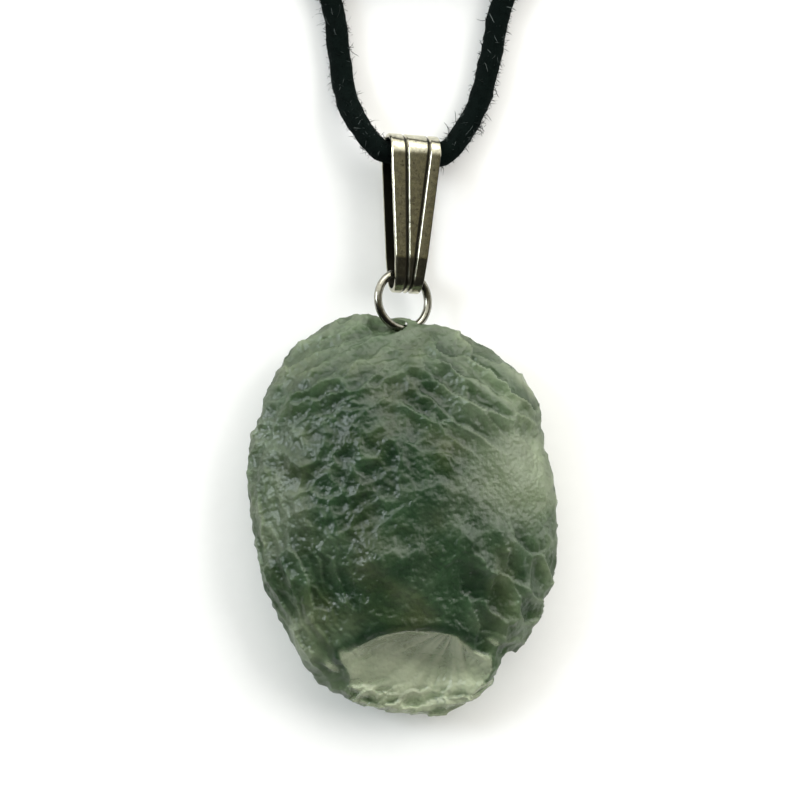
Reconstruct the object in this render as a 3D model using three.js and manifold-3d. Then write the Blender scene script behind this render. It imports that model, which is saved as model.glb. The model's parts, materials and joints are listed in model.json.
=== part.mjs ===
// A raw moldavite pendant lying on its back: a drop of natural green glass with a drilled rim, a wire ring
// through the hole, a folded silver bail on the ring, and a knotted black cord through the bail.
// Millimetres. +X is to the pendant's right, +Y runs from the stone up to the bail, and +Z is away from the
// surface that it lies on. The origin is the middle of the small flat spot under the stone.
import * as THREE from "three";
import { ImprovedNoise } from "three/addons/math/ImprovedNoise.js";
import { mergeVertices } from "three/addons/utils/BufferGeometryUtils.js";
import Module from "manifold-3d";

const wasm = await Module();
wasm.setup();

// Driving dimensions of the stone
const frontRise = 5.3; // from the rim's own height to the crown of the front
const backDrop = 3.85; // from the rim's own height to the lowest part of the back
const rimRound = 1.3; // how thick and round the rim is
const rimHeight = 3.7; // height of the rim above the surface that the stone lies on
const rimWander = 0.35; // how far the rim goes up and down around the stone
const crown = 1.55; // how evenly the front and the back curve: 2 is an even curve, 1 a cone
const stoneDetail = 14; // divisions of each side of the twenty triangles that the stone starts from

// The stone seen from the front, going round to the left from its right-hand side
const stoneOutline = [
  [13.5, 0.0], [13.3, 2.9], [12.7, 5.6], [12.0, 8.6], [10.7, 11.8], [8.4, 14.2], [5.2, 16.0], [1.9, 17.0],
  [0.1, 17.4], [-2.1, 17.4], [-3.8, 17.8], [-5.7, 17.4], [-8.9, 15.3], [-11.0, 12.3], [-12.4, 8.9],
  [-13.4, 6.0], [-13.6, 3.4], [-13.2, 0.0], [-12.6, -3.1], [-11.6, -6.7], [-10.2, -9.6], [-8.3, -13.3],
  [-6.6, -15.1], [-4.1, -16.3], [-1.8, -16.9], [1.8, -17.2], [5.2, -16.5], [7.3, -15.2], [8.9, -13.0],
  [10.4, -11.4], [12.0, -8.9], [13.1, -5.6], [13.5, -2.9],
];

// Where the glass has broken away: the middle of each hollow, and how far it reaches each way
const lowerBreak = { at: [2.3, -15.5, 10.1], reach: [11.2, 6.3, 6.2], detail: 7, lumps: 0.08 };
const smallBreaks = [
  { at: [9.3, -13.6, 3.0], reach: [1.3, 1.9, 3.6], detail: 3, lumps: 0.06 },
  { at: [-2.9, -17.3, 3.0], reach: [0.9, 0.9, 3.0], detail: 3, lumps: 0.06 },
];
// The dimples at the two ends of the drilled hole
const holeDimples = [
  { at: [-1.6, 17.2, 5.1], reach: [1.6, 1.5, 1.6], detail: 3, lumps: 0.06 },
  { at: [1.9, 17.2, 2.2], reach: [1.5, 1.4, 1.6], detail: 3, lumps: 0.06 },
];

// Driving dimensions of the fittings
const wireRadius = 0.38;
const ringRadius = 2.5; // to the middle of the wire
const ringTurn = 30; // degrees that the ring is turned about the pendant's length, its left side forward
const ringDroop = 6; // degrees that its top sinks towards the surface
const freePlay = 0.3; // between pieces that touch
const holeCentre = new THREE.Vector3(0.22, 16.38, 3.7); // the lowest point of the ring's wire, in the stone
const bailOffset = 0.45; // along the wire from the ring's top to the middle of the bail
const bailSheet = 0.35; // thickness of the silver sheet
const bailTopWidth = 4.5;
const bailFootWidth = 2.6;
const bailLength = 13.9;
const bailTopGap = 2.8; // between the two legs, under the arch
const bailCreaseGap = 2.7; // between the two legs, where they turn in towards the foot
const bailCreaseHeight = 3.05; // from the foot to that crease
const bailFootGap = 2.2; // between the two legs, at the ring
const wireHeightInBail = 1.85; // from the bail's foot to the ring's wire
const bailTurn = 16; // degrees about its own length, its left side forward
const bailLean = 2.5; // degrees to the right
const bailSlope = 3.35; // degrees down towards the arch
const bailShoulder = 0.87; // how far up the bail reaches its full width, as a share of its length
// Places of the two grooves across the sheet, from -1 at its left edge to 1 at its right
const leftGroove = { foot: -0.2, top: -0.4 };
const rightGroove = { foot: 0.18, top: 0.56 };
const grooveWidth = 0.4;
const grooveDepth = 0.2;
const edgeChamfer = 0.12;

// Driving dimensions of the cord
const cordRadius = 1.0;
const coilCentre = [1.4, 64.0];
const coilInner = 7.9; // to the middle of the innermost turn
const coilOuter = 16.08; // to the middle of the outermost turn
const coilLayers = 2;
const tieThickness = 0.4;
const tieWidth = 1.6;
const tieAngle = 75; // degrees round the coil from +X
const tieBite = 0.45; // how far the tie presses into the cord, above and below
const knotCentre = [0, -1.6, 2.0]; // from the coil's middle, and so are the two leads and tails
const knotSize = [2.9, 2.3, 1.95];
const leadGap = 0.95; // from the coil's middle to where each lead starts its bend
const restingHeight = 1.05; // of the cord's middle where it lies in the eye of the coil

// One of the cord's two ends, out of the knot to the right; the other is its mirror image
const tailRoute = [[0.6, -2.2, 1.4], [1.4, -3.8, 1.0], [2.7, -4.4, 1.0], [4.0, -3.6, 1.0]];

// The middle of the cord where it isn't coiled, from the coil's left-hand side through the bail and back
const cordRoute = [
  [-12.15, 55.3, 1.0], [-10.6, 52.8, 1.0], [-9.0, 50.35, 1.0], [-7.6, 48.1, 1.0], [-6.6, 46.2, 1.0],
  [-6.05, 44.5, 1.0], [-5.72, 42.4, 1.0], [-5.43, 40.2, 1.02], [-5.15, 38.0, 1.2], [-4.83, 36.6, 1.55],
  [-4.3, 35.15, 2.1], [-3.5, 33.75, 2.6], [-2.5, 32.55, 2.95], [-1.55, 31.86, 2.95], [0.76, 31.65, 2.3],
  [3.05, 31.5, 1.64], [4.35, 32.35, 1.38], [5.55, 33.95, 1.1], [6.5, 35.7, 1.0], [7.1, 37.4, 1.0],
  [7.55, 39.3, 1.0], [8.05, 41.7, 1.0], [8.6, 44.3, 1.0], [9.25, 46.2, 1.08], [10.3, 48.1, 1.45],
  [11.8, 50.35, 2.1], [13.4, 52.8, 2.75], [14.95, 55.3, 3.0],
];

const radians = THREE.MathUtils.degToRad;

// The ring's own directions: along the wire at its lowest point, and up across the ring
const ringAlong = new THREE.Vector3(1, 0, 0).applyAxisAngle(new THREE.Vector3(0, 1, 0), radians(ringTurn));
const ringUp = new THREE.Vector3(0, 1, 0).applyAxisAngle(ringAlong, -radians(ringDroop));
const ringNormal = ringAlong.clone().cross(ringUp);
const ringCentre = holeCentre.clone().addScaledVector(ringUp, ringRadius);

function material(color, roughness, metalness, more = {}) {
  return new THREE.MeshStandardMaterial({ color, roughness, metalness, ...more });
}

const moldaviteGlass = material(0x5a7a55, 0.45, 0.0, { transparent: true, opacity: 0.85 });
const silver = material(0xbdb8a4, 0.25, 1.0);
const blackCord = material(0x0b0c0d, 0.95, 0.0);
const tieWire = material(0x16181a, 0.6, 0.0);

// Solids from closed geometries, and back again
function solidOf(geometry) {
  const bare = geometry.clone();
  bare.deleteAttribute("normal");
  bare.deleteAttribute("uv");
  const merged = mergeVertices(bare, 1e-4);
  return new wasm.Manifold(
    new wasm.Mesh({
      numProp: 3,
      vertProperties: new Float32Array(merged.attributes.position.array),
      triVerts: new Uint32Array(merged.index.array),
    }),
  );
}

function geometryOf(solid) {
  const mesh = solid.getMesh();
  const geometry = new THREE.BufferGeometry();
  geometry.setAttribute("position", new THREE.BufferAttribute(new Float32Array(mesh.vertProperties), 3));
  geometry.setIndex(new THREE.BufferAttribute(new Uint32Array(mesh.triVerts), 1));
  geometry.computeVertexNormals();
  return geometry;
}

function part(name, geometry, finish) {
  const mesh = new THREE.Mesh(geometry, finish);
  mesh.name = name;
  return mesh;
}

// Relief of etched glass: a repeatable random number for a cell, and shallow bowls that meet in
// sharp ridges
const perlin = new ImprovedNoise();

function cellRandom(i, j, k, salt) {
  let mixed = Math.imul(i, 374761393) ^ Math.imul(j, 668265263);
  mixed ^= Math.imul(k, 1440662683) ^ Math.imul(salt, 97463477);
  mixed = Math.imul(mixed ^ (mixed >>> 13), 1274126177);
  return ((mixed ^ (mixed >>> 16)) >>> 0) / 4294967296;
}

// 0 in the middle of a bowl, about 1 on the ridges round it
function bowls(x, y, z) {
  const [i, j, k] = [Math.floor(x), Math.floor(y), Math.floor(z)];
  let nearest = 9;
  for (let a = i - 1; a <= i + 1; a++) {
    for (let b = j - 1; b <= j + 1; b++) {
      for (let c = k - 1; c <= k + 1; c++) {
        const dx = a + cellRandom(a, b, c, 1) - x;
        const dy = b + cellRandom(a, b, c, 2) - y;
        const dz = c + cellRandom(a, b, c, 3) - z;
        nearest = Math.min(nearest, dx * dx + dy * dy + dz * dz);
      }
    }
  }
  return Math.min(nearest * 1.3, 1);
}

// Patches of the front, each with bowls of its own: middle, reach, grain direction in degrees,
// the length and width of a bowl, and its depth
const patches = [
  { x: -11.0, y: -6.0, reach: 7.5, grain: -66, long: 5.4, wide: 2.3, depth: 0.8 },
  { x: 10.0, y: -6.5, reach: 5.5, grain: -58, long: 4.2, wide: 2.6, depth: 1.0 },
  { x: 7.0, y: 11.0, reach: 6.0, grain: -32, long: 4.6, wide: 2.5, depth: 1.0 },
  { x: 10.0, y: 3.5, reach: 4.5, grain: 70, long: 6.0, wide: 5.0, depth: 0.5 },
  { x: -5.0, y: 2.5, reach: 6.5, grain: 0, long: 2.9, wide: 2.7, depth: 0.85 },
  { x: -6.0, y: 13.0, reach: 5.5, grain: 22, long: 4.4, wide: 2.3, depth: 0.8 },
  { x: 1.5, y: -4.0, reach: 6.0, grain: 60, long: 4.6, wide: 3.8, depth: 0.6 },
];
const backPatch = { grain: 40, long: 3.4, wide: 2.8, depth: 0.85 };

function patchRelief(patch, p, salt) {
  const turn = radians(patch.grain);
  const along = p.x * Math.cos(turn) + p.y * Math.sin(turn);
  const across = p.y * Math.cos(turn) - p.x * Math.sin(turn);
  return patch.depth * (bowls(along / patch.long + salt, across / patch.wide, p.z / patch.wide) - 0.45);
}

// Ridges that stand out on the front, as points in the plane of the outline
const ridges = [
  { height: 0.68, points: [[2.2, 15.3], [4.4, 12.6], [6.3, 10.4], [8.6, 9.0]] },
  { height: 0.52, points: [[1.0, 12.9], [4.6, 10.9], [6.4, 8.2]] },
  { height: 0.6, points: [[6.0, 14.0], [8.7, 11.6], [11.0, 9.8]] },
  { height: 0.6, points: [[5.4, -1.6], [7.4, -3.9], [9.4, -7.2], [9.0, -10.3]] },
  { height: 0.57, points: [[8.2, -1.3], [10.2, -4.2], [11.6, -7.6]] },
  { height: 0.45, points: [[-11.4, -4.4], [-9.6, -9.0], [-6.6, -13.0]] },
  { height: 0.45, points: [[-9.6, -3.6], [-8.1, -8.2], [-5.4, -11.6]] },
  { height: 0.42, points: [[-8.7, 10.9], [-5.2, 13.0], [-1.0, 12.6]] },
  { height: 0.45, points: [[-2.0, -2.9], [-0.2, -4.2], [1.1, -2.6], [0.8, -0.8]] },
];
const ridgeWidth = 0.8;

function segmentDistance(x, y, [ax, ay], [bx, by]) {
  const [dx, dy] = [bx - ax, by - ay];
  const t = THREE.MathUtils.clamp(((x - ax) * dx + (y - ay) * dy) / (dx * dx + dy * dy), 0, 1);
  return Math.hypot(x - ax - t * dx, y - ay - t * dy);
}

function ridgeRelief(p) {
  let raised = 0;
  for (const ridge of ridges) {
    const steps = ridge.points.slice(1).map((end, n) => segmentDistance(p.x, p.y, ridge.points[n], end));
    raised = Math.max(raised, ridge.height * Math.exp(-((Math.min(...steps) / ridgeWidth) ** 2)));
  }
  return raised;
}

// How far the weathered surface stands out from the smooth one at a point, calmer at the rim and the hole
function relief(p, isFront, out) {
  const lumps = 0.55 * perlin.noise(p.x / 6 + 3.1, p.y / 6 + 7.7, p.z / 6 + 1.3);
  const warp = 0.9;
  const q = new THREE.Vector3(
    p.x + warp * perlin.noise(p.x / 2.6, p.y / 2.6, 5.5),
    p.y + warp * perlin.noise(p.y / 2.6, p.z / 2.6, 9.5),
    p.z,
  );
  let sum = 0.2 * patchRelief(backPatch, q, 31);
  let weight = 0.2;
  if (isFront) {
    patches.forEach((patch, n) => {
      const share = Math.exp(-2 * ((p.x - patch.x) ** 2 + (p.y - patch.y) ** 2) / patch.reach ** 2);
      sum += share * patchRelief(patch, q, 10 * n);
      weight += share;
    });
  }
  const awayFromHole = 0.25 + 0.75 * THREE.MathUtils.smoothstep(p.distanceTo(holeCentre), 1.5, 4);
  const awayFromRim = 1 - 0.6 * THREE.MathUtils.smoothstep(out, 0.9, 0.99);
  return awayFromHole * awayFromRim * (lumps + sum / weight + (isFront ? ridgeRelief(p) : 0));
}

// The outline's radius in each direction from the origin
function outlineRadius() {
  const curve = new THREE.CatmullRomCurve3(
    stoneOutline.map(([x, y]) => new THREE.Vector3(x, y, 0)),
    true,
    "centripetal",
  );
  const asSeen = (p) => ({ angle: Math.atan2(p.y, p.x), radius: Math.hypot(p.x, p.y) });
  const samples = curve.getPoints(900).map(asSeen);
  samples.sort((a, b) => a.angle - b.angle);
  return (angle) => {
    let after = samples.findIndex((s) => s.angle >= angle);
    if (after <= 0) after = samples.length - 1;
    const [a, b] = [samples[after - 1], samples[after]];
    const t = (angle - a.angle) / Math.max(b.angle - a.angle, 1e-9);
    return THREE.MathUtils.lerp(a.radius, b.radius, THREE.MathUtils.clamp(t, 0, 1));
  };
}

// A lens of the stone's outline, thickest in the middle, with its relief
function stoneBody() {
  const radiusAt = outlineRadius();
  const ball = new THREE.IcosahedronGeometry(1, stoneDetail);
  ball.deleteAttribute("normal");
  ball.deleteAttribute("uv");
  const lens = mergeVertices(ball, 1e-5);
  const place = lens.attributes.position;
  const front = [];
  const outs = [];
  for (let n = 0; n < place.count; n++) {
    const d = new THREE.Vector3().fromBufferAttribute(place, n).normalize();
    const angle = Math.atan2(d.y, d.x);
    const out = Math.hypot(d.x, d.y);
    const c = Math.abs(d.z);
    const rise = d.z > 0 ? frontRise : -backDrop;
    const rim = rimHeight + rimWander * Math.sin(2 * angle + 0.6) * out ** 2;
    const round = Math.sign(rise) * rimRound;
    const height = round * c + (rise - round) * c ** crown;
    const far = radiusAt(angle) * out;
    place.setXYZ(n, far * Math.cos(angle), far * Math.sin(angle), rim + height);
    front.push(d.z > -0.05);
    outs.push(out);
  }
  lens.computeVertexNormals();
  const outward = lens.attributes.normal.clone();
  for (let n = 0; n < place.count; n++) {
    const p = new THREE.Vector3().fromBufferAttribute(place, n);
    const normal = new THREE.Vector3().fromBufferAttribute(outward, n);
    const foot = THREE.MathUtils.smoothstep(Math.hypot(p.x, p.y), 3, 6.5);
    const steady = front[n] ? 1 : foot;
    p.addScaledVector(normal, steady * relief(p, front[n], outs[n]));
    place.setXYZ(n, p.x, p.y, p.z);
  }
  return lens;
}

// A lumpy ball that leaves a broken, shell-shaped face where it is cut away
function hollow({ at, reach, detail, lumps }) {
  const [x, y, z] = at;
  const ball = new THREE.IcosahedronGeometry(1, detail);
  ball.deleteAttribute("normal");
  ball.deleteAttribute("uv");
  const cutter = mergeVertices(ball, 1e-5);
  const place = cutter.attributes.position;
  for (let n = 0; n < place.count; n++) {
    const d = new THREE.Vector3().fromBufferAttribute(place, n);
    const swell = 1 + lumps * perlin.noise(d.x * 2.3 + x, d.y * 2.3 + y, d.z * 2.3 + z);
    place.setXYZ(n, x + reach[0] * swell * d.x, y + reach[1] * swell * d.y, z + reach[2] * swell * d.z);
  }
  return solidOf(cutter);
}

function ringTorus(tubeRadius, wireSides, ringSides) {
  const torus = new THREE.TorusGeometry(ringRadius, tubeRadius, wireSides, ringSides);
  torus.applyMatrix4(new THREE.Matrix4().makeBasis(ringAlong, ringUp, ringNormal));
  return torus.translate(...ringCentre);
}

// The room that the wire needs in the stone, as the stone swings on it
function ringRoom() {
  let room = null;
  for (const swing of [0, 16, 32, 48]) {
    const torus = ringTorus(wireRadius + freePlay, 7, 22);
    const turn = new THREE.Matrix4().makeRotationAxis(ringAlong, radians(swing));
    const there = new THREE.Matrix4().makeTranslation(...holeCentre);
    const back = new THREE.Matrix4().makeTranslation(...holeCentre.clone().negate());
    torus.applyMatrix4(there.multiply(turn).multiply(back));
    room = room ? room.add(solidOf(torus)) : solidOf(torus);
  }
  return room;
}

function stone() {
  const under = new THREE.BoxGeometry(60, 60, 10).translate(0, 0, -5);
  let body = solidOf(stoneBody()).subtract(solidOf(under));
  for (const worn of [lowerBreak, ...smallBreaks, ...holeDimples]) body = body.subtract(hollow(worn));
  return part("stone", geometryOf(body.subtract(ringRoom())), moldaviteGlass);
}

function ring() {
  return part("jump_ring", ringTorus(wireRadius, 8, 32), silver);
}

// The middles of the bail's round foot and of its round arch, as heights above its foot
const footMiddle = bailFootGap / 2 + bailSheet;
const archMiddle = bailLength - bailTopGap / 2 - bailSheet;

// The bail's side view, at a distance inside its face: a long loop of sheet with a round arch and
// a round foot
function bailLoop(inset) {
  const arc = (middle, from, steps) => {
    const radius = bailGapAt(middle) + bailSheet - inset;
    for (let n = 0; n <= steps; n++) {
      const angle = from + Math.PI * (n / steps);
      points.push(new THREE.Vector2(radius * Math.cos(angle), middle + radius * Math.sin(angle)));
    }
  };
  const crease = bailGapAt(bailCreaseHeight) + bailSheet - inset;
  const points = [];
  arc(archMiddle, 0, 12);
  points.push(new THREE.Vector2(-crease, bailCreaseHeight));
  arc(footMiddle, Math.PI, 8);
  points.push(new THREE.Vector2(crease, bailCreaseHeight));
  return points;
}

// Half the gap between the legs at a height above the foot
function bailGapAt(height) {
  const low = THREE.MathUtils.inverseLerp(footMiddle, bailCreaseHeight, height);
  if (low < 1) return THREE.MathUtils.lerp(bailFootGap, bailCreaseGap, Math.max(low, 0)) / 2;
  const high = THREE.MathUtils.inverseLerp(bailCreaseHeight, archMiddle, height);
  return THREE.MathUtils.lerp(bailCreaseGap, bailTopGap, Math.min(high, 1)) / 2;
}

// Where the columns of the sheet lie across its width, from -1 at the left to 1 at the right, at a height
function bailColumns(height) {
  const rise = THREE.MathUtils.clamp(height / bailLength, 0, 1);
  const half = THREE.MathUtils.lerp(bailFootWidth, bailTopWidth, Math.min(rise / bailShoulder, 1)) / 2;
  const left = THREE.MathUtils.lerp(leftGroove.foot, leftGroove.top, rise) * half;
  const right = THREE.MathUtils.lerp(rightGroove.foot, rightGroove.top, rise) * half;
  const side = grooveWidth / 2;
  return {
    places: [-half, edgeChamfer - half, left - side, left, left + side, right - side, right, right + side,
      half - edgeChamfer, half],
    sunk: [edgeChamfer, 0, 0, grooveDepth, 0, 0, grooveDepth, 0, 0, edgeChamfer],
  };
}

function bail() {
  const profile = new THREE.Shape(bailLoop(0));
  profile.holes.push(new THREE.Path(bailLoop(bailSheet)));
  const columns = bailColumns(0).places.length;
  const gaps = columns - 1;
  const band = new THREE.ExtrudeGeometry(profile, { depth: gaps, steps: gaps, bevelEnabled: false });
  const place = band.attributes.position;
  const middle = new THREE.Vector2();
  for (let n = 0; n < place.count; n++) {
    const [w, v, column] = [place.getX(n), place.getY(n), Math.round(place.getZ(n))];
    const { places, sunk } = bailColumns(v);
    middle.set(0, THREE.MathUtils.clamp(v, footMiddle, archMiddle));
    const inward = middle.clone().sub(new THREE.Vector2(w, v));
    const outerFace = inward.length() > bailGapAt(v) + bailSheet / 2;
    if (outerFace) inward.setLength(sunk[column]);
    else inward.set(0, 0);
    place.setXYZ(n, places[column], v + inward.y - wireHeightInBail, w + inward.x);
  }
  const mesh = part("bail", geometryOf(solidOf(facingOut(band))), silver);
  const [lean, slope] = [radians(bailLean), radians(bailSlope)];
  const along = new THREE.Vector3(Math.sin(lean), Math.cos(lean), -Math.sin(slope)).normalize();
  const across = new THREE.Vector3(Math.cos(radians(bailTurn)), 0, -Math.sin(radians(bailTurn)));
  across.addScaledVector(along, -across.dot(along)).normalize();
  mesh.applyMatrix4(new THREE.Matrix4().makeBasis(across, along, across.clone().cross(along)));
  mesh.position.copy(bailSeat());
  return mesh;
}

// Where the ring's wire crosses the middle of the bail
function bailSeat() {
  const turn = Math.asin(bailOffset / ringRadius);
  return ringCentre
    .clone()
    .addScaledVector(ringAlong, ringRadius * Math.sin(turn))
    .addScaledVector(ringUp, ringRadius * Math.cos(turn));
}

// Turns a geometry's faces over if they point inwards
function facingOut(geometry) {
  if (solidOf(geometry).volume() > 0) return geometry;
  const place = geometry.attributes.position.array;
  for (let n = 0; n < place.length; n += 9) {
    for (let axis = 0; axis < 3; axis++) {
      const swap = place[n + 3 + axis];
      place[n + 3 + axis] = place[n + 6 + axis];
      place[n + 6 + axis] = swap;
    }
  }
  return geometry;
}

// A round, solid tube along a smooth curve through points
function tube(points, radius, steps) {
  const sides = 8;
  const section = new THREE.Shape();
  for (let n = 0; n < sides; n++) {
    const angle = (2 * Math.PI * (n + 0.5)) / sides;
    const corner = [radius * Math.cos(angle), radius * Math.sin(angle)];
    if (n) section.lineTo(...corner);
    else section.moveTo(...corner);
  }
  section.closePath();
  const places = points.map((p) => new THREE.Vector3(...p));
  const extrudePath = new THREE.CatmullRomCurve3(places, false, "centripetal");
  return solidOf(facingOut(new THREE.ExtrudeGeometry(section, { steps, extrudePath })));
}

function upright(radius, low, high) {
  const round = new THREE.CylinderGeometry(radius, radius, high - low, 48);
  return solidOf(round.rotateX(Math.PI / 2).translate(...coilCentre, (low + high) / 2));
}

const coilInside = coilInner - cordRadius;
const coilOutside = coilOuter + cordRadius;
const coilHeight = 2 * cordRadius * coilLayers;

function cord() {
  const whole = tube(cordRoute, cordRadius, 34);
  return part("cord", geometryOf(whole.subtract(upright(coilOutside + freePlay, -1, 9))), blackCord);
}

// A band round the coil's bundle of turns, from one distance outside its tightest place to another
function tieFrame(inner, outer, width) {
  const outline = (grow) => {
    const [near, far] = [coilInside + tieBite - grow, coilOutside - tieBite + grow];
    const [low, high] = [tieBite - grow, coilHeight - tieBite + grow];
    return [[near, low], [far, low], [far, high], [near, high]].map(([x, y]) => new THREE.Vector2(x, y));
  };
  const band = new THREE.Shape(outline(outer));
  band.holes.push(new THREE.Path(outline(inner)));
  const frame = new THREE.ExtrudeGeometry(band, { depth: width, bevelEnabled: false });
  frame.translate(0, 0, -width / 2).rotateX(Math.PI / 2).rotateZ(radians(tieAngle));
  return solidOf(facingOut(frame.translate(...coilCentre, 0)));
}

function cordCoil() {
  const [a, b, soft] = [coilInside, coilOutside, 0.5];
  const profile = [
    [a + soft, 0], [b - soft, 0], [b, soft], [b, coilHeight - soft], [b - soft, coilHeight],
    [a + soft, coilHeight], [a, coilHeight - soft], [a, soft], [a + soft, 0],
  ];
  const ringShape = new THREE.LatheGeometry(profile.map(([x, y]) => new THREE.Vector2(x, y)), 48);
  ringShape.rotateX(Math.PI / 2).translate(...coilCentre, 0);
  const bundle = solidOf(facingOut(ringShape.toNonIndexed()));
  const room = tieFrame(-freePlay, 3, tieWidth + 2 * freePlay);
  return part("cord_coil", geometryOf(bundle.subtract(room)), blackCord);
}

function coilTie() {
  return part("coil_tie", geometryOf(tieFrame(0, tieThickness, tieWidth)), tieWire);
}

// The two ends of the cord, tied together in the eye of the coil
function cordKnot() {
  const bend = (coilInner - leadGap) / 2;
  const lead = (side, startHeight) => {
    const points = [];
    for (let n = 0; n <= 8; n++) {
      const angle = Math.PI * (n / 8);
      const fall = THREE.MathUtils.smoothstep(n / 8, 0, 1);
      const x = side * (coilInner - bend + bend * Math.cos(angle));
      points.push([x, bend * Math.sin(angle), THREE.MathUtils.lerp(startHeight, restingHeight, fall)]);
    }
    points.push([side * 0.8, -1.5, 1.6]);
    return tube(points, cordRadius, 9);
  };
  const tail = (side) => tube(tailRoute.map(([x, y, z]) => [side * x, y, z]), cordRadius, 4);
  const lump = new THREE.SphereGeometry(1, 12, 8).scale(...knotSize).translate(...knotCentre);
  const tied = solidOf(lump)
    .add(lead(-1, cordRadius))
    .add(lead(1, 3 * cordRadius))
    .add(tail(-1))
    .add(tail(1));
  const placed = tied.translate([...coilCentre, 0]).intersect(upright(coilInside - freePlay, 0, 9));
  return part("cord_knot", geometryOf(placed), blackCord);
}

const pendant = new THREE.Group();
pendant.add(stone(), ring(), bail(), cord(), cordCoil(), coilTie(), cordKnot());
export default pendant;
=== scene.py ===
"""A raw moldavite pendant lying on its back on a pale floor.

The stone is a drop of natural green glass, etched all over and drilled near its top edge. A wire ring
goes through the hole, a fluted silver bail hangs the ring on a soft black cord, and the rest of the cord
lies coiled above, its two ends knotted together.
"""

import json
import math
import random

import bmesh
import bpy
import numpy as np
from mathutils import Matrix, Vector


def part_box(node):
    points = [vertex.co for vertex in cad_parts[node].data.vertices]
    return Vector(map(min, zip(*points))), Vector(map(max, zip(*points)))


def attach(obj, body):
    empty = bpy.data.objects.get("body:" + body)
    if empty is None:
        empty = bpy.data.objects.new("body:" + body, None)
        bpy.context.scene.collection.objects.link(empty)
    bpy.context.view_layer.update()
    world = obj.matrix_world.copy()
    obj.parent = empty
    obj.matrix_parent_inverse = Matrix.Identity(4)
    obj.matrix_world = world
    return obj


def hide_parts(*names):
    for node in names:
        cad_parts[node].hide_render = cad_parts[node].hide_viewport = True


bl_info = {
    "name": "Moldavite pendant",
    "version": (1, 0, 0),
    "blender": (4, 5, 0),
    "location": "View3D > Sidebar > Moldavite",
    "description": "Makes a raw moldavite pendant on its ring, bail and cord, and the stage that it lies on",
    "category": "Add Mesh",
}

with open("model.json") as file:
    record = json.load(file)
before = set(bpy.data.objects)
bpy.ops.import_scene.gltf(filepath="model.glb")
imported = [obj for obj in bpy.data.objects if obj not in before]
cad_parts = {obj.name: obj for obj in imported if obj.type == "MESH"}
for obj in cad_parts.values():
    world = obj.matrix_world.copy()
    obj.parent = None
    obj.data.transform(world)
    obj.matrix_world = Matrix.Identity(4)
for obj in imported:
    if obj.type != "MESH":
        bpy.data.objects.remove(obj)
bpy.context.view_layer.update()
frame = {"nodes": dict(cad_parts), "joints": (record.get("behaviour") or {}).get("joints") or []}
MM = 0.001

# The pendant's own directions, from its hinges: the ring's wire in the stone, and the wire in the bail
HINGES = {joint["name"]: joint for joint in frame["joints"]}
HOLE = Vector(HINGES["stone_swing"]["pos_m"])
RING_ALONG = -Vector(HINGES["stone_swing"]["axis"]).normalized()
BAIL_SEAT = Vector(HINGES["ring_swing"]["pos_m"])

# The middle of the cord where it isn't coiled, from the coil's left-hand side through the bail and back
CORD_ROUTE = [
    (-0.01215, 0.0553, 0.001), (-0.0106, 0.0528, 0.001), (-0.009, 0.05035, 0.001),
    (-0.0076, 0.0481, 0.001), (-0.0066, 0.0462, 0.001), (-0.00605, 0.0445, 0.001),
    (-0.00572, 0.0424, 0.001), (-0.00543, 0.0402, 0.00102), (-0.00515, 0.038, 0.0012),
    (-0.00483, 0.0366, 0.00155), (-0.0043, 0.03515, 0.0021), (-0.0035, 0.03375, 0.0026),
    (-0.0025, 0.03255, 0.00295), (-0.00155, 0.03186, 0.00295), (0.00076, 0.03165, 0.0023),
    (0.00305, 0.0315, 0.00164), (0.00435, 0.03235, 0.00138), (0.00555, 0.03395, 0.0011),
    (0.0065, 0.0357, 0.001), (0.0071, 0.0374, 0.001), (0.00755, 0.0393, 0.001),
    (0.00805, 0.0417, 0.001), (0.0086, 0.0443, 0.001), (0.00925, 0.0462, 0.00108),
    (0.0103, 0.0481, 0.00145), (0.0118, 0.05035, 0.0021), (0.0134, 0.0528, 0.00275),
    (0.01495, 0.0553, 0.003),
]
COIL_CENTRE = Vector((0.0014, 0.064, 0.0))
COIL_INNER = 0.0079
COIL_OUTER = 0.01608
COIL_TURNS = 4
COIL_JOIN = math.radians(32.7)
TIE_ANGLE = math.radians(75)
# Where each lead to the knot starts to bend: how far from the coil's middle, and how high
LEAD_GAP = 0.95 * MM
LEAD_HEIGHT = 1.05 * MM
# The cord's half thickness in the coil and the height between the coil's two layers
COIL_RADIUS = 1.0 * MM
COIL_MIDDLE = 2 * COIL_RADIUS
# How far to each side the tie presses the coil, and how much down and how much together
TIE_REACH, TIE_PRESS, TIE_GATHER = 2.2 * MM, 0.22, 0.07


def length_setting(name, description, size):
    return bpy.props.FloatProperty(name=name, description=description, default=size, unit="LENGTH")


def colour_setting(name, description, colour):
    return bpy.props.FloatVectorProperty(name=name, description=description, default=colour, subtype="COLOR")


class StoneSettings(bpy.types.PropertyGroup):
    """Sizes and colours of the moldavite."""

    facet: length_setting("Mesh size", "Size of the stone's mesh", 0.15 * MM)
    relief: bpy.props.FloatProperty(
        name="Relief", description="Strength of the etched relief", default=1.0, subtype="FACTOR"
    )
    glass: colour_setting("Glass", "Colour that the glass lets through", (0.3, 0.48, 0.29))
    depth_of_colour: bpy.props.FloatProperty(
        name="Depth of colour", description="How fast the glass darkens with thickness", default=150.0
    )


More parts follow.
